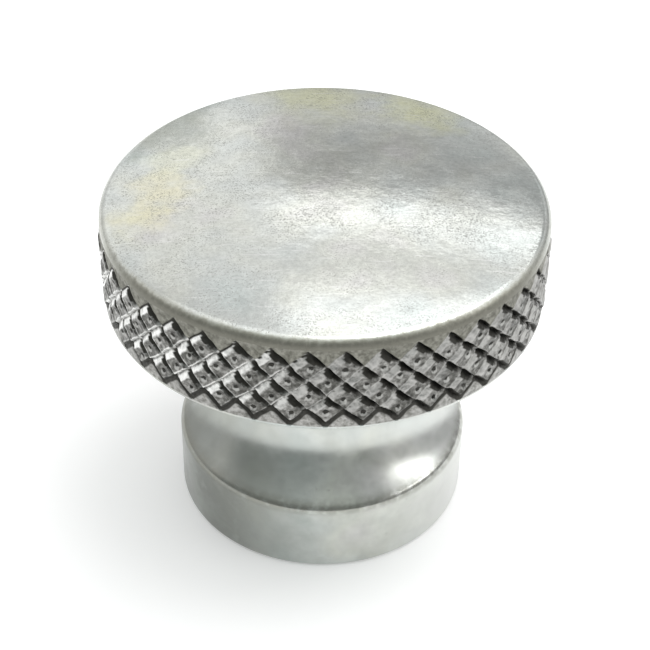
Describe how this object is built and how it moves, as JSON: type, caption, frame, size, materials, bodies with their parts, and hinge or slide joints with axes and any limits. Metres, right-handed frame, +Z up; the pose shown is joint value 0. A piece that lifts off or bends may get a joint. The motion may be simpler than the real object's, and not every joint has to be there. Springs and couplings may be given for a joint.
{
  "type": "knurled mounting nut",
  "caption": "Zinc-plated steel thumb nut with a crowned, diamond-knurled head on a waisted neck and plain collar, and a blind threaded hole in its underside.",
  "frame": {"origin": "centre of the collar's flat end face, where the hole opens", "axes": "+Z up the nut's axis from the collar to the crowned head; X and Y are any two square directions across it"},
  "size_m": [0.0254, 0.0254, 0.021],
  "materials": {
    "zinc_steel": "satin zinc plate, darker and sharper in the knurl"
  },
  "bodies": {
    "root": {"mounting_nut": "zinc_steel"}
  },
  "joints": []
}
